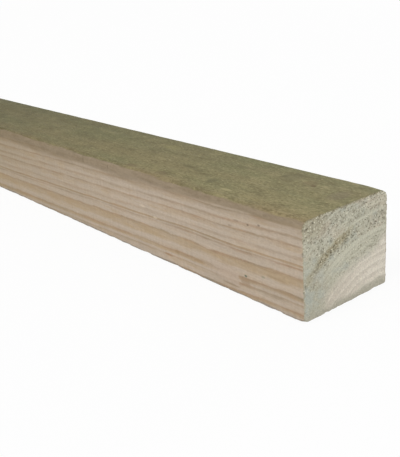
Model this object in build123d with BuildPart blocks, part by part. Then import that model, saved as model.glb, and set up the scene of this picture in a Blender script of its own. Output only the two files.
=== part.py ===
"""A rail of pressure-treated softwood, 50 x 42 mm in section and 1.8 m long.

The rail lies along X on its sawn underside. The origin is at the middle of the
underside and +Z is up. The front is the side at -Y, and the crosscut end at +X
is the one that is usually seen.

It is one stick of timber. The top and both sides were run through a machine
that eased the two upper arrises. The underside was ripped from a deeper board
afterwards, so the two lower arrises are nearly sharp. Both ends are cut square.
"""

import os

from build123d import *

# Driving dimensions, in millimetres
rail_length = 1800.0
rail_width = 50.0
rail_height = 42.0

# Radius of each long arris
front_top_radius = 3.0
back_top_radius = 3.0
front_bottom_radius = 1.0
back_bottom_radius = 0.6

with BuildPart() as rail:
    # Square section, run along the length from the cut end at -X
    with BuildSketch(Plane.YZ.offset(-rail_length / 2)):
        Rectangle(rail_width, rail_height, align=(Align.CENTER, Align.MIN))
    extrude(amount=rail_length)

    # Front arrises, the eased one at the top and the sawn one below
    front_edges = rail.edges().filter_by(Axis.X).group_by(Axis.Y)[0].sort_by(Axis.Z)
    fillet(front_edges[-1], front_top_radius)
    front_edges = rail.edges().filter_by(Axis.X).group_by(Axis.Y)[0].sort_by(Axis.Z)
    fillet(front_edges[0], front_bottom_radius)

    # Back arrises, eased at the top like the front and sawn sharper below
    back_edges = rail.edges().filter_by(Axis.X).group_by(Axis.Y)[-1].sort_by(Axis.Z)
    fillet(back_edges[-1], back_top_radius)
    back_edges = rail.edges().filter_by(Axis.X).group_by(Axis.Y)[-1].sort_by(Axis.Z)
    fillet(back_edges[0], back_bottom_radius)

rail.part.label = "rail"

os.makedirs("parts", exist_ok=True)
export_step(rail.part, "parts/rail.step")
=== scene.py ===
"""Looks of a sawn softwood rail: one dense mesh with real relief, and its two wood materials."""
import math

import bpy
import numpy as np
from mathutils import Matrix, Vector


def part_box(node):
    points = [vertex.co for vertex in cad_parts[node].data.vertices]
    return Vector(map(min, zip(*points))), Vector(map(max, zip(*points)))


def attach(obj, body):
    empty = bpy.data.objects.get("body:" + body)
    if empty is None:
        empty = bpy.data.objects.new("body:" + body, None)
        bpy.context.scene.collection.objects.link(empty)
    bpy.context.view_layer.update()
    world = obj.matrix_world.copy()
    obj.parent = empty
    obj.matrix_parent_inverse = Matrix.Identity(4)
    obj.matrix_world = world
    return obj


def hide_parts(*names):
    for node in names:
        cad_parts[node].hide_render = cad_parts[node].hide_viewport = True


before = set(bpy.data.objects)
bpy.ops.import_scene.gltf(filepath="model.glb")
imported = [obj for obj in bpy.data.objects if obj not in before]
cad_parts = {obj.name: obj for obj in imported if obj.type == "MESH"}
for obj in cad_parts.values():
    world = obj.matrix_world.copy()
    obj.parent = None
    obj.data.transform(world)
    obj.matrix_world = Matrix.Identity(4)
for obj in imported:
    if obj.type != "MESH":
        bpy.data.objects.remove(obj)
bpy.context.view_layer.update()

MM = 0.001

# The rail's box, in millimetres, from the frame
BOX_LOW, BOX_HIGH = (np.array(corner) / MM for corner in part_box("rail"))
_, WIDTH, HEIGHT = (float(size) for size in BOX_HIGH - BOX_LOW)
FAR_END, SHOWN_END = float(BOX_LOW[0]), float(BOX_HIGH[0])
FRONT, BACK = float(BOX_LOW[1]), float(BOX_HIGH[1])

# Radius of each long arris, as in the CAD section
FRONT_TOP, BACK_TOP, FRONT_BOTTOM, BACK_BOTTOM = 3.0, 3.0, 1.0, 0.6

# Mesh: segments of each half arris and each flat of a coarse loop. The shown end's loop has twice as many.
ARC_STEPS, FLAT_STEPS_Y, FLAT_STEPS_Z = 3, 50, 42
# Steps between loops: the first, those near the shown end and the far ones
FIRST_STEP, NEAR_STEP, FAR_STEP = 0.5, 1.6, 9.0
# The stretch that the near steps cover, and the one over which they grow into the far ones
NEAR_STRETCH, STEP_CHANGE = 300.0, 250.0

# The deepest that the relief lies below the CAD section, on the long sides and on the cut ends
SIDE_DEEPEST, END_DEEPEST = 1.5, 1.2

# The tree: where its pith passes the shown end, how the stem bows along the rail, and a small dip in it
PITH_Y, PITH_Z = 20.0, -35.0
BOW, BOW_LENGTH = 15.0, 509.0
DIP, DIP_AWAY, DIP_REACH = 0.8, 48.0, 24.0

# Two close rings run flatter than the rest for a stretch: how much, where along the rail, and which rings
FLAT_PULL, FLAT_AWAY, FLAT_REACH = 0.8, 62.0, 24.0
FLAT_RADIUS, FLAT_SPREAD = 73.7, 2.2

# Growth rings from the pith outwards: outer radius, how dark the line that ends it is, how tan it is inside
RINGS = (
    (31.0, 0.5, 0.3),
    (35.4, 0.6, 0.4),
    (39.5, 0.8, 0.3),
    (43.0, 0.6, 0.2),
    (46.8, 0.5, 0.3),
    (50.5, 0.6, 0.4),
    (53.6, 0.7, 0.3),
    (57.3, 0.7, 0.3),
    (59.4, 0.8, 0.5),
    (62.1, 0.85, 0.2),
    (64.2, 0.9, 0.85),
    (70.2, 1.0, 0.85),
    (73.2, 0.95, 0.0),
    (74.2, 0.85, 1.0),
    (76.4, 0.45, 0.1),
    (80.7, 0.95, 0.3),
    (83.4, 0.8, 0.1),
    (87.1, 1.0, 0.3),
    (91.0, 0.7, 0.4),
    (95.5, 0.7, 0.4),
    (100.0, 0.6, 0.2),
    (105.0, 0.8, 0.5),
    (110.0, 0.6, 0.3),
    (115.0, 0.7, 0.4),
)
# Widest ring, which the material divides ring widths by
WIDEST_RING = 31.0
# How many rings lie inside the one that is stained on the cut ends
STAINED_RING = 11.0

# Where the heartwood ends: distance from the pith, and how much further it reaches towards the back
HEART_RADIUS, HEART_SPREAD = 51.7, 5.0

# A band of the end grain that the saw tore more: inner and outer distance from the pith
TORN_INNER, TORN_OUTER = 62.0, 69.0
# Bands that it left smooth: distance from the pith, half width, how smooth
SMOOTH_BANDS = ((61.0, 1.3, 1.0), (69.6, 0.9, 0.8))

# Corners of the shown end that are knocked off: where, how far round it, and which way the wood gave
KNOCKS = (
    ((SHOWN_END, FRONT, 0.0), (1.5, 1.5, 1.5), (-0.7, 0.6, 0.5)),
    ((SHOWN_END, BACK, HEIGHT), (5.0, 3.5, 3.5), (-0.2, -0.2, -0.5)),
)


def smooth_step(value, start, end):
    t = np.clip((value - start) / (end - start), 0.0, 1.0)
    return t * t * (3.0 - 2.0 * t)


def hill(value, middle, reach):
    """1 in the middle, sinking to nearly 0 at twice the reach on either side."""
    return np.exp(-(((value - middle) / reach) ** 2))


def lattice(ix, iy, iz, seed):
    """A repeatable random number from -1 to 1 at each point of a cubic lattice."""
    n = ix * 73856093 ^ iy * 19349663 ^ iz * 83492791 ^ seed * 49979687
    n = (n ^ (n >> 13)) * 1274126177 & 0xFFFFFFFF
    n = (n ^ (n >> 16)) * 668265263 & 0xFFFFFFFF
    return ((n ^ (n >> 15)) & 0xFFFF) / 32767.5 - 1.0


def noise(x, y, z, seed):
    """Smooth noise from -1 to 1 with features about one unit across."""
    corner = [np.floor(v).astype(np.int64) for v in (x, y, z)]
    fx, fy, fz = (smooth_step(v - c, 0.0, 1.0) for v, c in zip((x, y, z), corner))
    total = 0.0
    for dx, wx in ((0, 1.0 - fx), (1, fx)):
        for dy, wy in ((0, 1.0 - fy), (1, fy)):
            for dz, wz in ((0, 1.0 - fz), (1, fz)):
                total = total + wx * wy * wz * lattice(
                    corner[0] + dx, corner[1] + dy, corner[2] + dz, seed
                )
    return total


def rough_noise(x, y, z, seed, octaves=3):
    """Smooth noise with finer and finer detail on top of it."""
    total, weight = 0.0, 1.0
    for octave in range(octaves):
        k = 2.0**octave
        total = total + weight * noise(x * k, y * k, z * k, seed + octave)
        weight *= 0.5
    return total / (2.0 - 2.0 * weight)


def ring_radius(x, y, z):
    """Distance from the pith, which sinks as the stem bows away from the shown end."""
    away = SHOWN_END - x
    pith_z = PITH_Z - BOW * np.sin(away / BOW_LENGTH) - DIP * hill(away, DIP_AWAY, DIP_REACH)
    return np.hypot(y - PITH_Y, z - pith_z)


def ring_phase(x, y, z):
    """How many growth rings lie inside each point, with the fraction of the ring it is in."""
    away = SHOWN_END - x
    radius = ring_radius(x, y, z)
    waver = 0.7 * noise(away / 240.0, y / 24.0, z / 24.0, seed=11)
    radius = radius + waver * smooth_step(away, 60.0, 400.0)
    radius = radius + 0.25 * noise(away / 60.0, y / 8.0, z / 8.0, seed=12)
    flatter = FLAT_PULL * hill(away, FLAT_AWAY, FLAT_REACH) * hill(radius, FLAT_RADIUS, FLAT_SPREAD)
    return np.interp(radius - flatter, [ring[0] for ring in RINGS], np.arange(1.0, len(RINGS) + 1.0))


def late_wood(phase):
    """1 in the dense outer part of each ring, and 0 in the soft part that grew first."""
    fraction = phase - np.floor(phase)
    return smooth_step(fraction, 0.6, 0.9) * (1.0 - smooth_step(fraction, 0.97, 1.0))


def heartwood(x, y, z):
    """1 in the paler wood near the pith, fading to 0 in the sapwood."""
    radius = ring_radius(x, y, z) + 1.6 * rough_noise(x / 60.0, y / 5.0, z / 3.0, seed=15)
    edge = HEART_RADIUS + HEART_SPREAD * smooth_step(y, 15.0, 24.0)
    return smooth_step(edge - radius, -4.2, 2.6) * smooth_step(y, -19.0, -9.0)


def section_loop(arc_steps, flat_y, flat_z):
    """The section's outline and its normals, from the middle of the front bottom arris under to the back."""
    arrises = (
        (FRONT + FRONT_BOTTOM, FRONT_BOTTOM, FRONT_BOTTOM),
        (BACK - BACK_BOTTOM, BACK_BOTTOM, BACK_BOTTOM),
        (BACK - BACK_TOP, HEIGHT - BACK_TOP, BACK_TOP),
        (FRONT + FRONT_TOP, HEIGHT - FRONT_TOP, FRONT_TOP),
    )
    points, normals = [], []

    def add(centre_y, centre_z, radius, angle):
        out = (math.cos(angle), math.sin(angle))
        points.append((centre_y + radius * out[0], centre_z + radius * out[1]))
        normals.append(out)

    for side in range(4):
        facing = math.radians(270.0 + 90.0 * side)
        start, end = arrises[side], arrises[(side + 1) % 4]
        for i in range(arc_steps):
            add(*start, facing - math.pi / 4 * (1 - i / arc_steps))
        steps = flat_z if side % 2 else flat_y
        for i in range(steps):
            t = i / steps
            add(*((1 - t) * a + t * b for a, b in zip(start, end)), facing)
        for i in range(arc_steps):
            add(*end, facing + math.pi / 4 * i / arc_steps)
    return np.array(points), np.array(normals)


def side_depth(x, y, z, ny, nz):
    """How far in, in millimetres, a long side that faces along ny and nz lies from the CAD section."""
    along = SHOWN_END - x
    # Saw fuzz everywhere, and growth lines that stand proud of the soft wood
    depth = 0.04 + 0.04 * noise(along / 110.0, y / 30.0, z / 30.0, seed=21)
    depth = depth + 0.05 * (1.0 - late_wood(ring_phase(x, y, z)))
    depth = depth + 0.045 * rough_noise(along / 9.0, y / 1.5, z / 1.5, seed=22)
    depth = depth + 0.03 * noise(along / 2.6, y / 16.0, z / 16.0, seed=23)
    # The ripped underside is torn, and chipped at its edges
    under = smooth_step(-nz, 0.2, 0.9)
    torn = rough_noise(along / 5.0, y / 2.4, z / 2.4, seed=31)
    torn = torn + 0.6 * noise(along / 2.6, y / 1.8, 0 * z, seed=35)
    depth = depth + under * np.clip(0.30 * torn, -0.04, 0.7)
    edge = smooth_step(-nz, 0.05, 0.5) * smooth_step(np.abs(ny), 0.05, 0.5)
    near_edge = np.exp(-z / 1.6) * smooth_step(np.abs(ny), 0.3, 0.9)
    chips = np.clip(rough_noise(along / 4.5, y / 9.0, z / 9.0, seed=33) - 0.1, 0.0, 1.0)
    depth = depth + (0.8 * edge + 0.5 * near_edge) * chips
    # The top is furred
    top = smooth_step(nz, 0.3, 0.9)
    depth = depth + top * (0.07 * rough_noise(along / 3.6, y / 1.8, 0 * z, seed=41) - 0.01)
    return np.clip(depth, 0.0, SIDE_DEEPEST)


def end_depth(y, z, torn):
    """How far in, in millimetres, the surface of a cut end lies. Both ends get the shown end's rings."""
    late = late_wood(ring_phase(np.full_like(y, SHOWN_END), y, z))
    depth = 0.05 + 0.08 * (1.0 - late) + 0.05 * rough_noise(y, z, 0 * y, seed=51, octaves=2)
    edge = np.minimum(np.minimum(y - FRONT, BACK - y), np.minimum(z, HEIGHT - z))
    frayed = 1.0 + rough_noise(y / 1.8, z / 1.8, 0 * y, seed=53)
    depth = depth + 0.18 * np.exp(-edge / 0.5) * frayed
    return np.clip(depth + 0.45 * torn, 0.0, END_DEEPEST)


def torn_pits(tear, y, z, seed):
    """Strength of the torn specks in a cut end: pits under a millimetre across, as dense as tear says."""
    cell_y, cell_z = 1.15, 1.05
    u, v = y / cell_y, z / cell_z
    iu, iv = np.floor(u).astype(np.int64), np.floor(v).astype(np.int64)
    pits = np.zeros_like(y)
    for du in (-1, 0, 1):
        for dv in (-1, 0, 1):
            cu, cv = iu + du, iv + dv
            pu = cu + 0.5 + 0.42 * lattice(cu, cv, 0 * cu, seed)
            pv = cv + 0.5 + 0.42 * lattice(cu, cv, 0 * cu, seed + 1)
            size = 0.28 + 0.14 * lattice(cu, cv, 0 * cu, seed + 2)
            present = lattice(cu, cv, 0 * cu, seed + 3) * 0.5 + 0.5
            distance = np.hypot((u - pu) * cell_y, (v - pv) * cell_z)
            pit = 1.0 - smooth_step(distance, 0.3 * size, 2.0 * size)
            pits = np.maximum(pits, pit * smooth_step(0.75 * tear - present, 0.0, 0.35))
    return pits


def tear_zone(x, y, z):
    """How badly the saw tore the end grain there, from 0 to 1: most in the soft wood near the top."""
    radius = ring_radius(np.full_like(y, SHOWN_END), y, z)
    across, up = y / BACK, z / HEIGHT
    zone = 0.42 + 0.5 * smooth_step(up + 0.12 * across, 0.3, 0.85)
    in_ring = smooth_step(radius, TORN_INNER, TORN_INNER + 1.6) * smooth_step(TORN_OUTER - radius, 0.0, 1.5)
    zone = zone + 0.45 * in_ring
    # Smooth greenish bands, clearest towards the back
    smooth = sum(strength * hill(radius, middle, reach) for middle, reach, strength in SMOOTH_BANDS)
    zone = zone - 0.8 * smooth * smooth_step(across, -0.9, 0.3)
    zone = zone - 0.35 * smooth_step(-across, 0.3, 0.9) * smooth_step(0.72 - up, 0.0, 0.3)
    zone = zone + 0.25 * rough_noise(y / 5.0, z / 4.0, 0 * y, seed=65)
    zone = zone * (1.0 - 0.45 * late_wood(ring_phase(x, y, z))) * (1.0 - 0.7 * heartwood(x, y, z))
    return np.clip(zone, 0.0, 1.0)


def loop_places():
    """Where the loops of vertices lie along the rail, close together near the shown end."""
    places, x = [SHOWN_END], SHOWN_END - FIRST_STEP
    while x > FAR_END + FIRST_STEP:
        places.append(x)
        t = float(smooth_step(SHOWN_END - x, NEAR_STRETCH, NEAR_STRETCH + STEP_CHANGE))
        x -= NEAR_STEP + (FAR_STEP - NEAR_STEP) * t
    places.append(FAR_END)
    return np.array(places)


def fill_end(loop, columns, rows):
    """Points inside a closed loop of 2 x (columns + rows) points, spread evenly between its four sides."""
    bottom = loop[: columns + 1]
    right = loop[columns : columns + rows + 1]
    top = loop[columns + rows : 2 * columns + rows + 1][::-1]
    left = np.vstack([loop[2 * columns + rows :], loop[:1]])[::-1]
    u = np.linspace(0.0, 1.0, columns + 1)[None, :, None]
    v = np.linspace(0.0, 1.0, rows + 1)[:, None, None]
    ruled = (1 - v) * bottom[None] + v * top[None] + (1 - u) * left[:, None] + u * right[:, None]
    corners = (
        (1 - u) * (1 - v) * bottom[0]
        + u * (1 - v) * bottom[-1]
        + (1 - u) * v * top[0]
        + u * v * top[-1]
    )
    return ruled - corners


def end_index(first, loop_index, columns, rows):
    """Vertex number of each point of an end's grid, whose border is the loop it closes."""
    index = np.zeros((rows + 1, columns + 1), int)
    index[1:-1, 1:-1] = first + np.arange((rows - 1) * (columns - 1)).reshape(rows - 1, columns - 1)
    index[0, :] = loop_index[: columns + 1]
    index[:, -1] = loop_index[columns : columns + rows + 1]
    index[-1, :] = loop_index[columns + rows : 2 * columns + rows + 1][::-1]
    index[1:, 0] = loop_index[2 * columns + rows :][::-1]
    return index


def grid_quads(index):
    return np.stack([index[:-1, :-1], index[:-1, 1:], index[1:, 1:], index[1:, :-1]], -1).reshape(-1, 4)


def side_surface(x, loop, normals):
    """A section loop repeated at each x: where its points lie, where the CAD has them, and their facing."""
    x, loop, normals = np.broadcast_arrays(np.asarray(x)[:, None, None], loop[None], normals[None])
    x, y, z, ny, nz = x[..., 0], loop[..., 0], loop[..., 1], normals[..., 0], normals[..., 1]
    depth = side_depth(x, y, z, ny, nz)
    surface = ((x, y - ny * depth, z - nz * depth), (x, y, z), (0 * ny, ny, nz))
    return [np.stack(values, -1).reshape(-1, 3) for values in surface]


def cut_end(x, loop, columns, rows, seed):
    """The grid of points that closes an end's loop, with the tear and the torn specks at each of them."""
    grid = fill_end(loop[:, 1:], columns, rows)
    y, z = grid[..., 0], grid[..., 1]
    tear = tear_zone(np.full_like(y, x), y, z)
    return grid, tear, torn_pits(tear, y, z, seed)


def side_faces(fine_count, coarse_count, sides_end):
    """Triangles that join the shown end's fine loop to the first coarse one, and the quads of the sides."""
    coarse = np.arange(coarse_count) + fine_count
    coarse_next = np.roll(coarse, -1)
    even, odd = np.arange(0, fine_count, 2), np.arange(1, fine_count, 2)
    even_next = np.roll(even, -1)
    join = np.vstack([
        np.column_stack([even, coarse, odd]),
        np.column_stack([odd, coarse, coarse_next]),
        np.column_stack([odd, coarse_next, even_next]),
    ])
    loops = np.arange(fine_count, sides_end).reshape(-1, coarse_count)
    loops = np.hstack([loops, loops[:, :1]])
    quads = np.stack([loops[:-1, :-1], loops[1:, :-1], loops[1:, 1:], loops[:-1, 1:]], -1).reshape(-1, 4)
    return join, quads


def rail_mesh():
    """One closed mesh of the whole stick, with its rings, facing and torn specks as attributes."""
    fine, fine_normals = section_loop(2 * ARC_STEPS, 2 * FLAT_STEPS_Y, 2 * FLAT_STEPS_Z)
    fine_count, coarse_count = len(fine), len(fine) // 2
    columns, rows = 2 * (2 * ARC_STEPS + FLAT_STEPS_Y), 2 * (2 * ARC_STEPS + FLAT_STEPS_Z)
    places = loop_places()

    shown_loop, shown_nominal, shown_facing = side_surface([SHOWN_END], fine, fine_normals)
    sides, sides_nominal, sides_facing = side_surface(places[1:], fine[::2], fine_normals[::2])
    shown_grid, shown_tear, shown_torn = cut_end(SHOWN_END, shown_loop, columns, rows, seed=61)
    far_size = (columns // 2, rows // 2)
    far_grid, far_tear, far_torn = cut_end(FAR_END, sides[-coarse_count:], *far_size, seed=71)

    # Vertices: the fine loop, the coarse loops, the inside of the shown end and that of the far end
    shown_inner, far_inner = (grid[1:-1, 1:-1].reshape(-1, 2) for grid in (shown_grid, far_grid))
    first_inner = fine_count + len(sides)
    first_far = first_inner + len(shown_inner)
    shown_index = end_index(first_inner, np.arange(fine_count), columns, rows)
    far_index = end_index(first_far, np.arange(first_inner - coarse_count, first_inner), *far_size)
    place = np.vstack([
        shown_loop,
        sides,
        np.column_stack([np.full(len(shown_inner), SHOWN_END), shown_inner]),
        np.column_stack([np.full(len(far_inner), FAR_END), far_inner]),
    ])
    nominal = np.vstack([shown_nominal, sides_nominal, place[first_inner:]])
    facing = np.vstack([
        shown_facing,
        sides_facing,
        np.tile([1.0, 0.0, 0.0], (len(shown_inner), 1)),
        np.tile([-1.0, 0.0, 0.0], (len(far_inner), 1)),
    ])
    torn, tear = np.zeros(len(place)), np.zeros(len(place))
    torn[shown_index], torn[far_index] = shown_torn, far_torn
    tear[shown_index], tear[far_index] = shown_tear, far_tear

    # Relief of the ends, and the corners that are knocked off
    place[shown_index, 0] -= end_depth(shown_grid[..., 0], shown_grid[..., 1], shown_torn)
    place[far_index, 0] += end_depth(far_grid[..., 0], far_grid[..., 1], far_torn)
    for corner, reach, push in KNOCKS:
        knock = np.exp(-(((place - corner) / reach) ** 2).sum(1))
        place += knock[:, None] * np.array(push)
    place = np.clip(place, BOX_LOW, BOX_HIGH)

    join, quads = side_faces(fine_count, coarse_count, first_inner)
    shown_quads = grid_quads(shown_index)
    far_quads = grid_quads(far_index)[:, ::-1]
    faces = [*join.tolist(), *quads.tolist(), *shown_quads.tolist(), *far_quads.tolist()]
    first_end_face = len(join) + len(quads)

    mesh = smooth_mesh(place, faces, first_end_face)
    x, y, z = nominal.T
    add_floats(mesh, "ring_phase", ring_phase(x, y, z))
    add_floats(mesh, "heart", heartwood(x, y, z))
    add_floats(mesh, "torn", torn)
    add_floats(mesh, "tear", tear)
    attribute = mesh.attributes.new("facing", "FLOAT_VECTOR", "POINT")
    attribute.data.foreach_set("vector", facing.astype(np.float32).ravel())
    sharpen_ends(mesh, fine_count, first_inner - coarse_count, first_inner)
    add_bake_map(mesh, place, places, fine_count, first_end_face, len(shown_quads))
    mesh.validate()
    return mesh


def smooth_mesh(place, faces, first_end_face):
    """A smooth mesh of points given in millimetres, with the second material on the faces of the ends."""
    mesh = bpy.data.meshes.new("rail_wood")
    mesh.from_pydata((place * MM).tolist(), [], faces)
    mesh.polygons.foreach_set("use_smooth", np.ones(len(faces), bool))
    on_end = np.arange(len(faces)) >= first_end_face
    mesh.polygons.foreach_set("material_index", on_end.astype(int))
    return mesh


def add_floats(mesh, name, values):
    attribute = mesh.attributes.new(name, "FLOAT", "POINT")
    attribute.data.foreach_set("value", values.astype(np.float32))


def read_integers(collection, name, each=1):
    values = np.empty(each * len(collection), np.int32)
    collection.foreach_get(name, values)
    return values


def sharpen_ends(mesh, fine_count, far_first, far_end):
    """Marks the edges where the cut ends meet the sides as sharp."""
    a, b = read_integers(mesh.edges, "vertices", each=2).reshape(-1, 2).T
    shown = (a < fine_count) & (b < fine_count)
    far = (a >= far_first) & (a < far_end) & (b >= far_first) & (b < far_end)
    sharp = mesh.attributes.new("sharp_edge", "BOOLEAN", "EDGE")
    sharp.data.foreach_set("value", shown | far)


# Bake map: left, bottom, width and height of the rectangle that each stretch of the sides and each end takes
NEAR_MAP, FAR_MAP = (0.006, 0.36, 0.988, 0.30), (0.006, 0.675, 0.988, 0.32)
END_MAPS = ((0.006, 0.006, 0.41, 0.345), (0.43, 0.006, 0.41, 0.345))
# Distance from the shown end, near which the two stretches of the sides meet
MAP_SPLIT = 420.0


def add_bake_map(mesh, place, places, fine_count, first_end_face, shown_face_count):
    """Lays the sides out in two strips and each end in a rectangle of its own."""
    vertex = read_integers(mesh.loops, "vertex_index")
    starts = read_integers(mesh.polygons, "loop_start")
    totals = read_integers(mesh.polygons, "loop_total")
    face = np.repeat(np.arange(len(mesh.polygons)), totals)
    x, y, z = place[vertex].T

    # How far round the section each corner lies. The last face of a loop closes it, at 1 and not at 0.
    coarse_count = fine_count // 2
    on_coarse = ((vertex - fine_count) % coarse_count) / coarse_count
    around = np.where(vertex < fine_count, vertex / fine_count, on_coarse)
    highest = np.maximum.reduceat(around, starts)[face]
    around = np.where((highest > 0.9) & (around < 0.1), 1.0, around)

    split = places[np.argmin(np.abs(places - (SHOWN_END - MAP_SPLIT)))]
    near = (np.add.reduceat(x, starts) / totals)[face] > split
    along = np.where(near, (x - split) / (SHOWN_END - split), (x - FAR_END) / (split - FAR_END))
    shown = (face >= first_end_face) & (face < first_end_face + shown_face_count)
    far = face >= first_end_face + shown_face_count
    across, up = (y - FRONT) / WIDTH, z / HEIGHT

    uv = np.empty((len(vertex), 2))
    for chosen, u, v, (left, bottom, wide, tall) in (
        (near, along, around, NEAR_MAP),
        (~near, along, around, FAR_MAP),
        (shown, across, up, END_MAPS[0]),
        (far, across, up, END_MAPS[1]),
    ):
        uv[chosen, 0] = left + wide * u[chosen]
        uv[chosen, 1] = bottom + tall * v[chosen]
    layer = mesh.uv_layers.new(name="OFBake")
    layer.uv.foreach_set("vector", uv.astype(np.float32).ravel())


def srgb(red, green, blue):
    """A colour written as it shows on screen, from 0 to 255, as the linear colour that shaders take."""
    def linear(value):
        value /= 255.0
        return value / 12.92 if value <= 0.04045 else ((value + 0.055) / 1.055) ** 2.4

    return (linear(red), linear(green), linear(blue), 1.0)


# Gloss and bump that both materials share, with the bump's depth in metres
SPECULAR, BUMP_STRENGTH, BUMP_DEPTH = 0.2, 0.5, 0.0004


class Graph:
    """Adds and links the nodes of one material."""

    def __init__(self, name):
        self.material = bpy.data.materials.new(name)
        self.material.use_nodes = True
        self.tree = self.material.node_tree
        self.tree.nodes.clear()
        coordinates = self.node("ShaderNodeTexCoord").outputs["Object"]
        self.place = self.vector("SCALE", coordinates, scale=1.0 / MM)
        self.x, self.y, self.z = self.node("ShaderNodeSeparateXYZ", {0: self.place}).outputs

    def node(self, kind, inputs=None, **settings):
        node = self.tree.nodes.new(kind)
        for name, value in settings.items():
            setattr(node, name, value)
        for name, value in (inputs or {}).items():
            self.feed(node.inputs[name], value)
        return node

    def feed(self, socket, value):
        if isinstance(value, bpy.types.NodeSocket):
            self.tree.links.new(value, socket)
        else:
            socket.default_value = value

    def attribute(self, name, output="Fac"):
        return self.node("ShaderNodeAttribute", attribute_name=name).outputs[output]

    def math(self, operation, a, b=0.0, clamp=False):
        return self.node("ShaderNodeMath", {0: a, 1: b}, operation=operation, use_clamp=clamp).outputs[0]

    def times(self, a, b, clamp=False):
        return self.math("MULTIPLY", a, b, clamp)

    def vector(self, operation, a, b=None, scale=None):
        node = self.node("ShaderNodeVectorMath", {0: a}, operation=operation)
        if b is not None:
            self.feed(node.inputs[1], b)
        if scale is not None:
            self.feed(node.inputs["Scale"], scale)
        return node.outputs["Value" if operation == "LENGTH" else "Vector"]

    def mix(self, factor, a, b, blend="MIX"):
        node = self.node("ShaderNodeMix", data_type="RGBA", blend_type=blend)
        for socket, value in ((0, factor), (6, a), (7, b)):
            self.feed(node.inputs[socket], value)
        return node.outputs[2]

    def span(self, value, start, end, low=0.0, high=1.0, **settings):
        """Carries a value from the range start to end over to the range low to high, and holds it there."""
        inputs = {"Value": value, "From Min": start, "From Max": end, "To Min": low, "To Max": high}
        return self.node("ShaderNodeMapRange", inputs, **settings).outputs[0]

    def step(self, value, start, end, low=0.0, high=1.0):
        """A span that starts and ends smoothly."""
        return self.span(value, start, end, low, high, interpolation_type="SMOOTHSTEP")

    def between(self, value, start, full, fading, end):
        """1 from full to fading, and 0 before the start and past the end."""
        return self.times(self.step(value, start, full), self.step(value, fading, end, 1.0, 0.0))

    def spread(self, noise, low=0.0, high=1.0):
        """Carries noise, most of which lies from 0.3 to 0.7, over to the range low to high."""
        return self.span(noise, 0.3, 0.7, low, high)

    def roughen(self, value, noise, amount, clamp=False):
        """Makes a value uneven by up to amount either way."""
        return self.math("ADD", value, self.spread(noise, -amount, amount), clamp)

    def shift(self, colour, noise, amount):
        """Makes a colour lighter and darker by up to amount, as a share of it."""
        return self.vector("SCALE", colour, scale=self.spread(noise, 1.0 - amount, 1.0 + amount))

    def noise(self, size, detail=2.0, roughness=0.5, shift=0.0):
        """Noise from 0 to 1 whose features are about size millimetres along x, y and z."""
        place = self.vector("ADD", self.place, (shift, shift * 0.7, shift * 1.3))
        place = self.vector("DIVIDE", place, size)
        inputs = {"Vector": place, "Scale": 1.0, "Detail": detail, "Roughness": roughness}
        return self.node("ShaderNodeTexNoise", inputs).outputs[0]

    def dots(self, spacing, radius, share, shift):
        """Round dots from 0 to 1 in some of the cells of a jittered net across y and z."""
        place = self.vector("ADD", self.place, (0.0, shift, shift * 1.7))
        place = self.vector("MULTIPLY", place, (0.0, 1.0 / spacing[0], 1.0 / spacing[1]))
        cells = self.node("ShaderNodeTexVoronoi", {"Vector": place, "Scale": 1.0, "Randomness": 0.9})
        dot = self.step(cells.outputs["Distance"], radius, 0.4 * radius)
        chosen = self.node("ShaderNodeSeparateColor", {0: cells.outputs["Color"]}).outputs[0]
        return self.times(dot, self.step(chosen, share, share + 0.3))

    def spot(self, centre, size):
        """1 at a place on the rail, fading to 0 at its edge; size is its half width along x, y and z."""
        away = self.vector("DIVIDE", self.vector("SUBTRACT", self.place, centre), size)
        return self.step(self.vector("LENGTH", away), 0.45, 1.0, 1.0, 0.0)

    def shade(self, colour, roughness, height):
        """Ends the material in a dull shader with fine bump, and returns it."""
        bump_inputs = {"Strength": BUMP_STRENGTH, "Distance": BUMP_DEPTH, "Height": height}
        bump = self.node("ShaderNodeBump", bump_inputs).outputs[0]
        shader = self.node(
            "ShaderNodeBsdfPrincipled",
            {"Base Color": colour, "Roughness": roughness, "Normal": bump, "Specular IOR Level": SPECULAR},
        )
        self.node("ShaderNodeOutputMaterial", {"Surface": shader.outputs[0]})
        return self.material


def ring_values(graph, wobble):
    """A ring's phase and fraction, how far its edge is, how dark that edge is and how tan the ring is."""
    phase = graph.math("ADD", graph.attribute("ring_phase"), wobble)
    fraction = graph.math("FRACT", phase)
    ramp = graph.node("ShaderNodeValToRGB")
    ramp.color_ramp.interpolation = "CONSTANT"
    stops = ramp.color_ramp.elements
    # A ring's phase runs from its number to its number plus one, and the first ring listed ends at 1
    inner = 0.0
    for number, (outer, darkness, tan) in enumerate(RINGS):
        at = number / len(RINGS)
        stop = stops[number] if number < 2 else stops.new(at)
        stop.position = at
        stop.color = (darkness, tan, (outer - inner) / WIDEST_RING, 1.0)
        inner = outer
    number = graph.math("DIVIDE", graph.math("ADD", graph.math("FLOOR", phase), 0.5), float(len(RINGS)))
    graph.feed(ramp.inputs[0], number)
    darkness, tan, width = graph.node("ShaderNodeSeparateColor", {0: ramp.outputs[0]}).outputs
    inside = graph.times(graph.math("SUBTRACT", 1.0, fraction), graph.times(width, WIDEST_RING))
    return phase, fraction, inside, darkness, tan


# Side colours
PALE, TAN = srgb(181, 166, 149), srgb(171, 151, 123)
LINE, LINE_RED = srgb(143, 127, 101), srgb(153, 127, 102)
PINK_PATCH = srgb(181, 164, 147)
ARRIS_BROWN, ARRIS_TAN = srgb(127, 112, 90), srgb(147, 132, 110)
# The second colour on the next line is painted contact shadow along the bottom edge of the sides
SAWN, CONTACT_SHADOW_GREY, FAR_TINT = srgb(172, 163, 141), srgb(128, 121, 112), srgb(214, 210, 190)
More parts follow.
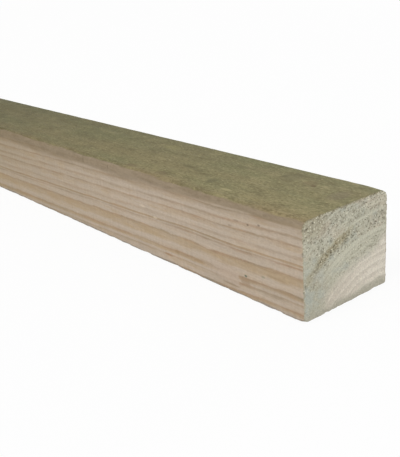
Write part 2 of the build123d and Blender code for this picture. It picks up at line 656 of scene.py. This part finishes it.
# Top colours
OLIVE_BACK, OLIVE_FRONT, OLIVE_BROWN = srgb(125, 120, 88), srgb(144, 132, 95), srgb(141, 125, 94)
OLIVE_DARK, OLIVE_LIGHT, OLIVE_GREEN = srgb(102, 93, 64), srgb(169, 158, 118), srgb(120, 121, 86)
OLIVE_FAR_TINT = srgb(193, 193, 178)

# Pink patch low on the front side: start, full, fading and end, as distance from the shown end and as height
PATCH_AWAY, PATCH_UP = (36.2, 37.6, 46.0, 66.0), (3.0, 4.6, 9.5, 13.0)
# Brown strip under the upper arrises: its depth at the shown end, how fast it grows, and its greatest depth
STRIP_DEPTH, STRIP_SLOPE, STRIP_DEEPEST = 2.4, 0.027, 5.4

# Marks on the front side: distance from the shown end, height, half length, half height, colour, strength
FRONT_MARKS = (
    (32.5, 10.3, 1.1, 0.7, srgb(78, 98, 80), 0.8),
    (22.0, 13.0, 1.5, 0.6, srgb(118, 130, 104), 0.45),
    (23.4, 34.9, 1.0, 0.6, srgb(98, 86, 68), 0.6),
    (29.8, 33.6, 0.9, 0.6, srgb(98, 86, 68), 0.65),
    (36.8, 33.8, 2.2, 0.6, srgb(112, 97, 76), 0.35),
    (40.7, 30.7, 1.6, 0.6, srgb(112, 97, 76), 0.35),
    (104.0, 24.9, 2.6, 0.8, srgb(206, 192, 168), 0.5),
    (94.3, 21.3, 2.2, 0.8, srgb(206, 192, 168), 0.5),
    (86.0, 4.8, 4.2, 0.8, srgb(146, 112, 76), 0.6),
    (63.0, 8.0, 4.5, 0.9, srgb(150, 124, 90), 0.5),
    (79.0, 8.1, 2.6, 1.0, srgb(146, 124, 90), 0.5),
    (33.0, 7.4, 4.0, 1.7, srgb(150, 128, 103), 0.5),
    (156.0, 39.0, 0.7, 2.0, srgb(110, 98, 78), 0.5),
    (132.0, 39.5, 0.8, 1.5, srgb(110, 98, 78), 0.5),
    (47.0, 40.2, 1.6, 0.8, srgb(112, 98, 78), 0.35),
    (20.0, 39.9, 1.8, 0.6, srgb(112, 98, 78), 0.35),
    (42.0, 3.6, 7.0, 0.6, srgb(140, 122, 98), 0.6),
    (20.0, 16.8, 9.0, 0.5, srgb(148, 128, 98), 0.5),
    (15.0, 14.6, 7.0, 0.5, srgb(148, 128, 98), 0.5),
)
# Smudges on the top: distance from the shown end, place across, half length, half width, colour, strength
TOP_MARKS = (
    (25.4, 9.0, 1.8, 1.6, srgb(98, 80, 55), 0.75),
    (29.0, 11.0, 5.0, 4.5, srgb(118, 104, 76), 0.5),
    (44.5, 11.5, 2.2, 1.8, srgb(96, 90, 62), 0.6),
    (41.0, 13.5, 7.0, 6.0, srgb(110, 104, 76), 0.45),
    (65.3, -12.9, 3.0, 3.6, srgb(98, 93, 66), 0.6),
    (90.0, -4.8, 5.5, 1.2, srgb(100, 92, 64), 0.55),
    (82.5, -6.4, 5.5, 1.2, srgb(100, 92, 64), 0.55),
    (75.5, -8.0, 5.5, 1.2, srgb(100, 92, 64), 0.5),
    (94.0, -19.0, 5.5, 2.5, srgb(118, 102, 74), 0.5),
    (117.0, -20.0, 5.0, 2.5, srgb(118, 102, 74), 0.5),
    (51.0, -16.8, 4.5, 1.4, srgb(176, 166, 124), 0.6),
    (9.0, 6.0, 5.0, 8.0, srgb(122, 110, 90), 0.45),
    (126.0, 12.0, 9.0, 4.0, srgb(150, 144, 98), 0.4),
    (68.0, 10.0, 10.0, 1.6, srgb(104, 98, 70), 0.4),
)
# How far a mark's colour reaches in from the surface of the front side and of the top
FRONT_MARK_DEPTH, TOP_MARK_DEPTH = 1.0, 4.0


class SideGraph(Graph):
    """The material of the long sides, with the values and noises that its layers share."""

    def __init__(self):
        super().__init__("treated_timber_sides")
        facing = self.attribute("facing", "Vector")
        self.facing_z = self.node("ShaderNodeSeparateXYZ", {0: facing}).outputs["Z"]
        self.away = self.math("SUBTRACT", SHOWN_END, self.x)
        self.near = self.step(self.away, 45.0, 90.0, 1.0, 0.0)
        self.blotch = self.noise((26.0, 5.0, 5.0), 4.0, 0.6)
        self.streak = self.noise((30.0, 0.8, 0.8), 3.0, 0.6)
        self.dash = self.noise((15.0, 1.6, 1.6), 3.0, 0.6, shift=49.0)
        self.fuzz = self.noise((1.7, 0.8, 0.8), 3.0, 0.7, shift=31.0)
        self.fur = self.noise((1.7, 0.9, 0.9), 3.0, 0.7, shift=5.0)


def ring_wood(graph):
    """Pale and tan rings with a thin uneven line at each ring's edge, under streaks, blotches and fuzz, with
    a painted contact shadow along the bottom edge.
    """
    wobble = graph.span(graph.noise((11.0, 2.0, 2.0), 4.0, 0.65, shift=17.0), 0.0, 1.0, -0.2, 0.2)
    _, fraction, inside, darkness, tan = ring_values(graph, wobble)
    tanned = graph.roughen(graph.times(tan, graph.step(fraction, 0.25, 0.6)), graph.blotch, 0.35)
    tanned = graph.roughen(tanned, graph.dash, 0.35, clamp=True)
    early = graph.mix(tanned, PALE, TAN)

    # The line is thin and dark at the edge, with a soft shade inside it and a short one outside
    uneven = graph.noise((14.0, 2.0, 2.0), 4.0, 0.65, shift=57.0)
    thin = graph.step(inside, graph.spread(uneven, 0.7, 1.75), 0.15)
    soft = graph.step(inside, 2.8, 0.0, 0.0, 0.3)
    outside = graph.step(graph.times(fraction, 4.0), 0.0, 0.7, 0.5, 0.0)
    line = graph.math("MAXIMUM", graph.math("MAXIMUM", thin, soft), outside)
    line = graph.times(graph.times(line, darkness), graph.span(graph.near, 0.0, 1.0, 0.62, 0.82))
    line = graph.times(line, graph.spread(uneven, 0.45, 1.35), clamp=True)
    wood = graph.mix(line, early, graph.mix(graph.span(graph.blotch, 0.4, 0.6), LINE, LINE_RED))

    patch = graph.times(graph.between(graph.away, *PATCH_AWAY), graph.step(graph.y, FRONT + 6.0, FRONT + 1.0))
    patch = graph.times(patch, graph.between(graph.roughen(graph.z, graph.blotch, 1.5), *PATCH_UP))
    wood = graph.mix(graph.times(patch, 0.75), wood, PINK_PATCH)

    ripple = graph.noise((1.7, 9.0, 9.0), 2.0, shift=21.0)
    for texture, amount in ((graph.streak, 0.05), (graph.blotch, 0.04), (ripple, 0.035), (graph.fuzz, 0.09)):
        wood = graph.shift(wood, texture, amount)
    # A thin painted contact shadow along the bottom edge, where the rail stands on the floor
    shadow_line_height = graph.roughen(graph.z, graph.dash, 0.9)
    return graph.mix(graph.step(shadow_line_height, 1.7, 0.3, 0.0, 0.65), wood, CONTACT_SHADOW_GREY)


def with_sawn_underside(graph, wood):
    """Adds the dull colour of the ripped underside, with the marks of the saw across it."""
    saw_marks = graph.noise((2.4, 26.0, 26.0), 2.0, 0.6, shift=66.0)
    sawn = graph.mix(graph.step(graph.blotch, 0.35, 0.65, 0.3, 0.9), wood, SAWN)
    sawn = graph.shift(graph.shift(sawn, saw_marks, 0.045), graph.fuzz, 0.1)
    return graph.mix(graph.step(graph.facing_z, -0.35, -0.9, 0.0, 0.8), wood, sawn)


def with_arris_strip(graph, wood):
    """Adds the brown strip under the eased arrises, with a growth line at its lower edge."""
    edge = graph.math("SUBTRACT", HEIGHT - STRIP_DEPTH, graph.times(graph.away, STRIP_SLOPE))
    edge = graph.math("MAXIMUM", edge, HEIGHT - STRIP_DEEPEST)
    edge = graph.roughen(edge, graph.noise((24.0, 3.0, 3.0), 3.0, shift=12.0), 0.7)
    above = graph.math("SUBTRACT", graph.z, edge)
    patchy = graph.noise((9.0, 2.2, 2.2), 4.0, 0.65, shift=72.0)
    brown = graph.mix(graph.spread(patchy), ARRIS_BROWN, ARRIS_TAN)
    wood = graph.mix(graph.step(above, -5.0, 0.5, 0.0, 0.3), wood, brown)
    # The strip's edge is sharp near the shown end and soft further away
    start, end = graph.span(graph.near, 0.0, 1.0, -2.4, -0.4), graph.span(graph.near, 0.0, 1.0, 1.8, 0.4)
    strip = graph.times(graph.step(above, start, end), graph.span(graph.away, 80.0, 240.0, 0.9, 0.7))
    wood = graph.mix(strip, wood, graph.shift(brown, graph.fuzz, 0.08))
    line = graph.between(above, -0.9, -0.1, 0.1, 0.9)
    return graph.mix(graph.times(line, graph.span(graph.near, 0.0, 1.0, 0.15, 0.4)), wood, LINE)


def furred_top(graph):
    """The colour of the treated top: olive, mottled and full of short pale and dark fibres."""
    mottle = graph.noise((11.0, 5.0, 5.0), 4.0, 0.6, shift=80.0)
    cloud = graph.noise((60.0, 16.0, 16.0), 3.0, 0.5, shift=90.0)
    fleck = graph.noise((2.6, 0.8, 0.8), 1.0, shift=63.0)
    olive = graph.mix(graph.span(graph.y, FRONT, BACK), OLIVE_FRONT, OLIVE_BACK)
    for share, tone in (
        (graph.step(graph.y, FRONT + 7.0, FRONT + 0.5, 0.0, 0.8), OLIVE_BROWN),
        (graph.span(cloud, 0.4, 0.65, 0.0, 0.6), OLIVE_GREEN),
        (graph.step(mottle, 0.5, 0.32, 0.0, 0.45), OLIVE_DARK),
        (graph.step(mottle, 0.5, 0.68, 0.0, 0.3), OLIVE_LIGHT),
        (graph.step(graph.fur, 0.48, 0.34, 0.0, 0.65), OLIVE_DARK),
        (graph.step(graph.fur, 0.53, 0.68, 0.0, 0.55), OLIVE_LIGHT),
        (graph.step(fleck, 0.64, 0.74, 0.0, 0.6), OLIVE_LIGHT),
    ):
        olive = graph.mix(share, olive, tone)
    olive = with_marks(
        graph, olive, TOP_MARKS, lambda x, y, long, wide: ((x, y, HEIGHT), (long, wide, TOP_MARK_DEPTH))
    )
    # The top gets darker away from the shown end, and drifts along the rest of the rail
    drift = graph.span(graph.noise((260.0, 80.0, 80.0), 2.0, shift=33.0), 0.35, 0.65, 0.4, 0.9)
    dark = graph.times(graph.span(graph.away, 0.0, 300.0), graph.step(graph.away, 380.0, 760.0, 1.0, drift))
    return graph.mix(dark, olive, OLIVE_FAR_TINT, "MULTIPLY")


def with_marks(graph, colour, marks, place_of):
    """Paints each mark of a list over a colour."""
    for away, side, half_length, half_side, tint, strength in marks:
        centre, size = place_of(SHOWN_END - away, side, half_length, half_side)
        colour = graph.mix(graph.times(graph.spot(centre, size), strength), colour, tint)
    return colour


def side_material():
    graph = SideGraph()
    wood = with_arris_strip(graph, with_sawn_underside(graph, ring_wood(graph)))
    wood = with_marks(
        graph, wood, FRONT_MARKS, lambda x, z, long, tall: ((x, FRONT, z), (long, FRONT_MARK_DEPTH, tall))
    )
    # Darker and yellower away from the shown end, most of all high on the side
    far = graph.times(graph.span(graph.away, 110.0, 340.0), graph.span(graph.z, 8.0, 30.0, 0.45, 1.0))
    wood = graph.mix(far, wood, FAR_TINT, "MULTIPLY")
    upward = graph.roughen(graph.facing_z, graph.noise((9.0, 1.5, 1.5), 2.0, shift=44.0), 0.14)
    colour = graph.mix(graph.step(upward, 0.6, 0.9), wood, furred_top(graph))

    height = graph.math("ADD", graph.times(graph.fuzz, 0.7), graph.times(graph.streak, 0.5))
    height = graph.math("ADD", height, graph.times(graph.fur, graph.step(graph.facing_z, 0.3, 0.9)))
    return graph.shade(colour, graph.spread(graph.streak, 0.72, 0.9), height)


# End colours
SAP, SAP_PALE, SAP_DARK = srgb(178, 174, 156), srgb(195, 193, 175), srgb(163, 159, 141)
# The first colour on the next line is painted shade for the torn pits and hollows of the ends, and the second
# a painted highlight for torn fibre tips
PIT_SHADE, GLINT = srgb(86, 81, 62), srgb(222, 218, 197)
HEART, HEART_PALE, HEART_DULL = srgb(204, 195, 180), srgb(214, 207, 193), srgb(190, 181, 167)
STAIN, STAIN_TAN = srgb(120, 106, 73), srgb(157, 147, 116)
BLUISH, CREAM, SKIN = srgb(165, 168, 158), srgb(188, 175, 156), srgb(170, 166, 150)
FRINGE, FRINGE_TOP, DUSTY = srgb(164, 155, 132), srgb(134, 125, 97), srgb(160, 151, 127)

# Dusty corner of the shown end: its middle and its half width along x, y and z
DUSTY_PLACE, DUSTY_SIZE = (SHOWN_END, FRONT + 5.0, HEIGHT - 3.0), (8.0, 11.0, 7.0)


class EndGraph(Graph):
    """The material of the cut ends, with the values and noises that its layers share."""

    def __init__(self):
        super().__init__("treated_timber_ends")
        wobble = self.span(self.noise((4.0, 4.0, 4.0), 2.0, shift=14.0), 0.0, 1.0, -0.1, 0.1)
        self.phase, self.fraction, self.inside, _, _ = ring_values(self, wobble)
        self.torn = self.attribute("torn")
        self.tear = self.attribute("tear")
        self.grain = self.noise((0.75, 0.75, 0.75), 2.0, 0.6)
        self.salt = self.noise((0.62, 0.62, 0.62), 1.0, 0.5, shift=25.0)
        self.blotch = self.noise((9.0, 7.0, 6.0), 3.0, 0.55, shift=9.0)
        # Hollows sink into the bump, and the ends' colour darkens them with painted shade
        hollows = self.dots((0.92, 0.78), 0.52, 0.3, shift=3.0)
        self.hollow = self.times(hollows, self.span(self.tear, 0.0, 1.0, 0.08, 0.85), clamp=True)


def sapwood(graph):
    """Soft greenish rings with pale thin edges, tinted here and there and dusty in the upper front corner."""
    cloud = graph.noise((16.0, 12.0, 10.0), 2.0, shift=39.0)
    sap = graph.mix(graph.spread(graph.grain, 0.2, 0.8), SAP_DARK, SAP_PALE)
    sap = graph.mix(0.45, sap, SAP)
    sap = graph.mix(graph.step(graph.blotch, 0.52, 0.66, 0.0, 0.55), sap, BLUISH)
    sap = graph.mix(graph.step(cloud, 0.5, 0.34, 0.0, 0.5), sap, CREAM)
    sap = graph.mix(graph.times(graph.step(graph.inside, 1.5, 0.35), 0.45), sap, SAP_PALE)
    sap = graph.mix(graph.step(graph.tear, 0.3, 0.04, 0.0, 0.65), sap, SAP_PALE)
    low_front = graph.times(graph.step(graph.y, -4.0, -22.0), graph.step(graph.z, 34.0, 14.0))
    dull = graph.mix(graph.step(graph.blotch, 0.4, 0.6), SAP_DARK, BLUISH)
    sap = graph.mix(graph.times(low_front, 0.75), sap, dull)
    return graph.mix(graph.times(graph.spot(DUSTY_PLACE, DUSTY_SIZE), 0.55), sap, DUSTY)


def pale_heartwood(graph):
    """The heartwood's colour: pinker than the sapwood, brightest at the back, with faint arcs."""
    heart = graph.mix(graph.step(graph.y, -10.0, 18.0), HEART_DULL, HEART_PALE)
    heart = graph.mix(graph.spread(graph.blotch, 0.0, 0.6), heart, HEART)
    faint = graph.span(graph.noise((4.0, 4.0, 4.0), 2.0, shift=71.0), 0.35, 0.65, 0.25, 0.75)
    heart = graph.mix(graph.times(graph.step(graph.inside, 2.4, 0.6), faint), heart, HEART_DULL)
    return graph.mix(graph.step(graph.fraction, 0.0, 0.4, 0.7, 0.0), heart, HEART_PALE)


def with_skin(graph, colour):
    """Adds the treated skin along the lower edge, and a thin dull fringe of frayed fibres round the rest."""
    skin_top = graph.spread(graph.blotch, 2.2, 4.4)
    skin_top = graph.math("ADD", skin_top, graph.step(graph.y, 0.0, 18.0, 0.0, 0.9))
    skin = graph.step(graph.math("SUBTRACT", graph.z, skin_top), -2.4, 1.0, 0.9, 0.0)
    colour = graph.mix(skin, colour, SKIN)
    # Distance in from the section's outline, where both upper arrises have the same radius
    out_y = graph.math("SUBTRACT", graph.math("ABSOLUTE", graph.y), BACK - FRONT_TOP)
    out_y = graph.math("MAXIMUM", out_y, 0.0)
    out_z = graph.math("MAXIMUM", graph.math("SUBTRACT", graph.z, HEIGHT - FRONT_TOP), 0.0)
    out = graph.math("SQRT", graph.math("ADD", graph.times(out_y, out_y), graph.times(out_z, out_z)))
    rim = graph.roughen(graph.math("SUBTRACT", FRONT_TOP, out), graph.grain, 0.6)
    fringe = graph.mix(graph.step(graph.z, HEIGHT - 5.0, HEIGHT - 1.5), FRINGE, FRINGE_TOP)
    return graph.mix(graph.step(rim, 1.1, 0.1, 0.0, 0.75), colour, fringe)


def with_stained_ring(graph, colour):
    """Adds the brown stain of one ring, from the front side to just past the middle."""
    start, full, fading, end = (STAINED_RING + part for part in (0.05, 0.5, 0.7, 1.1))
    reach = graph.step(graph.y, -26.0, -14.0, 0.25, 1.0)
    reach = graph.times(reach, graph.step(graph.y, -3.0, 8.0, 1.0, 0.0))
    band = graph.times(graph.between(graph.phase, start, full, fading, end), reach)
    colour = graph.mix(graph.times(band, 0.6), colour, STAIN_TAN)
    specks = graph.times(band, graph.dots((0.95, 0.8), 0.6, 0.1, shift=53.0))
    return graph.mix(graph.times(specks, graph.step(graph.y, -20.0, -10.0, 0.35, 0.8)), colour, STAIN)


def with_torn_fibres(graph, colour):
    """Adds painted shade in dark hollows and torn pits, and painted highlights on bright fibre tips, under a
    millimetre across, where the saw tore the grain.
    """
    # Painted highlights on the torn fibre tips
    tips = graph.dots((0.92, 0.82), 0.5, 0.3, shift=37.0)
    bright = graph.times(tips, graph.span(graph.tear, 0.0, 1.0, 0.2, 0.85), clamp=True)
    colour = graph.mix(bright, colour, GLINT)
    # Painted shade in the hollows and in the torn pits
    colour = graph.mix(graph.hollow, colour, PIT_SHADE)
    colour = graph.mix(graph.times(graph.torn, 0.5), colour, PIT_SHADE)
    return graph.shift(colour, graph.salt, 0.12)


def end_material():
    graph = EndGraph()
    colour = graph.mix(graph.attribute("heart"), sapwood(graph), pale_heartwood(graph))
    colour = with_torn_fibres(graph, with_stained_ring(graph, with_skin(graph, colour)))
    raised = graph.math("ADD", graph.grain, graph.salt)
    height = graph.math("SUBTRACT", raised, graph.math("ADD", graph.torn, graph.hollow))
    return graph.shade(colour, graph.spread(graph.grain, 0.8, 0.95), height)


def make_rail():
    rail = bpy.data.objects.new("rail_wood", rail_mesh())
    bpy.context.collection.objects.link(rail)
    rail.data.materials.append(side_material())
    rail.data.materials.append(end_material())
    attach(rail, "root")
    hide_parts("rail")


# Floor: half its width in metres, its grey under the lamps, and how far it turns white to the camera
FLOOR_REACH, FLOOR_GREY, FLOOR_WHITE = 30.0, 0.9, 0.92
WHITE = (1.0, 1.0, 1.0, 1.0)
WORLD_LIGHT = 0.54

# Square lamps: name, place and target in metres, side in metres, power in watts
LAMPS = (
    ("key", (0.6, -2.4, 2.6), (0.4, 0.0, 0.0), 2.2, 53.0),
    ("end_fill", (3.6, -0.6, 0.9), (0.9, 0.0, 0.02), 1.4, 26.0),
    ("far_end_fill", (-3.6, 0.6, 0.9), (-0.9, 0.0, 0.02), 1.4, 26.0),
    ("back_fill", (0.2, 3.0, 0.55), (0.1, 0.0, 0.02), 0.9, 26.0),
)


def white_where_seen(tree, plain, white_share):
    """Mixes plain with white emission on rays from the camera or a mirror, and leaves other rays plain."""
    path = tree.nodes.new("ShaderNodeLightPath")
    seen = path.outputs["Is Camera Ray"]
    for ray in ("Is Glossy Ray", "Is Transmission Ray"):
        either = tree.nodes.new("ShaderNodeMath")
        either.operation = "MAXIMUM"
        tree.links.new(seen, either.inputs[0])
        tree.links.new(path.outputs[ray], either.inputs[1])
        seen = either.outputs[0]
    share = tree.nodes.new("ShaderNodeMath")
    share.operation = "MULTIPLY"
    tree.links.new(seen, share.inputs[0])
    share.inputs[1].default_value = white_share
    white = tree.nodes.new("ShaderNodeEmission")
    white.inputs["Color"].default_value = WHITE
    white.inputs["Strength"].default_value = 1.0
    mixed = tree.nodes.new("ShaderNodeMixShader")
    tree.links.new(share.outputs[0], mixed.inputs[0])
    tree.links.new(plain, mixed.inputs[1])
    tree.links.new(white.outputs[0], mixed.inputs[2])
    return mixed.outputs[0]


def make_stage():
    """A pale floor that is nearly white to the camera and still takes the rail's shadow."""
    mesh = bpy.data.meshes.new("floor")
    corners = [(FLOOR_REACH * x, FLOOR_REACH * y, 0) for x, y in ((-1, -1), (1, -1), (1, 1), (-1, 1))]
    mesh.from_pydata(corners, [], [(0, 1, 2, 3)])
    floor = bpy.data.objects.new("floor", mesh)
    bpy.context.collection.objects.link(floor)
    material = bpy.data.materials.new("floor")
    material.use_nodes = True
    tree = material.node_tree
    tree.nodes.clear()
    plain = tree.nodes.new("ShaderNodeBsdfDiffuse")
    plain.inputs["Color"].default_value = (FLOOR_GREY, FLOOR_GREY, FLOOR_GREY, 1.0)
    output = tree.nodes.new("ShaderNodeOutputMaterial")
    tree.links.new(white_where_seen(tree, plain.outputs[0], FLOOR_WHITE), output.inputs["Surface"])
    mesh.materials.append(material)


def make_world():
    """Even white light from all round."""
    world = bpy.data.worlds.new("studio")
    bpy.context.scene.world = world
    world.use_nodes = True
    tree = world.node_tree
    tree.nodes.clear()
    sky = tree.nodes.new("ShaderNodeBackground")
    sky.inputs["Color"].default_value = WHITE
    sky.inputs["Strength"].default_value = WORLD_LIGHT
    output = tree.nodes.new("ShaderNodeOutputWorld")
    tree.links.new(white_where_seen(tree, sky.outputs[0], 1.0), output.inputs["Surface"])


def add_lamp(name, place, target, size, power):
    lamp = bpy.data.lights.new(name, "AREA")
    lamp.shape = "SQUARE"
    lamp.size = size
    lamp.energy = power
    thing = bpy.data.objects.new(name, lamp)
    bpy.context.collection.objects.link(thing)
    thing.location = place
    thing.rotation_euler = (Vector(target) - Vector(place)).to_track_quat("-Z", "Y").to_euler()


# Camera, from the vanishing lines of the photo: place in widths of the rail from the middle of the shown
# end's lower edge, turns in degrees, and focal length in pixels of a picture 457 pixels tall
CAMERA_AWAY = (3.39548, -4.0735, 2.73061)
CAMERA_YAW, CAMERA_PITCH, CAMERA_ROLL = 52.209, 21.054, -4.471
CAMERA_FOCAL, IMAGE_TALL = 720.15, 457.0
# On an upright picture the sensor's width in millimetres lies along its height
SENSOR = 36.0
NEAREST_SEEN = 0.01


def make_camera():
    data = bpy.data.cameras.new("camera")
    data.sensor_width = SENSOR
    data.lens = CAMERA_FOCAL / IMAGE_TALL * SENSOR
    data.clip_start = NEAREST_SEEN
    camera = bpy.data.objects.new("camera", data)
    bpy.context.collection.objects.link(camera)
    place = Vector((SHOWN_END, 0.0, 0.0)) + WIDTH * Vector(CAMERA_AWAY)
    turn = Matrix.Rotation(math.radians(CAMERA_YAW), 4, "Z")
    turn = turn @ Matrix.Rotation(math.radians(90.0 - CAMERA_PITCH), 4, "X")
    turn = turn @ Matrix.Rotation(math.radians(CAMERA_ROLL), 4, "Z")
    camera.matrix_world = Matrix.Translation(place * MM) @ turn
    bpy.context.scene.camera = camera


make_rail()
make_stage()
make_world()
for lamp in LAMPS:
    add_lamp(*lamp)
make_camera()
bpy.context.scene.view_settings.view_transform = "Standard"
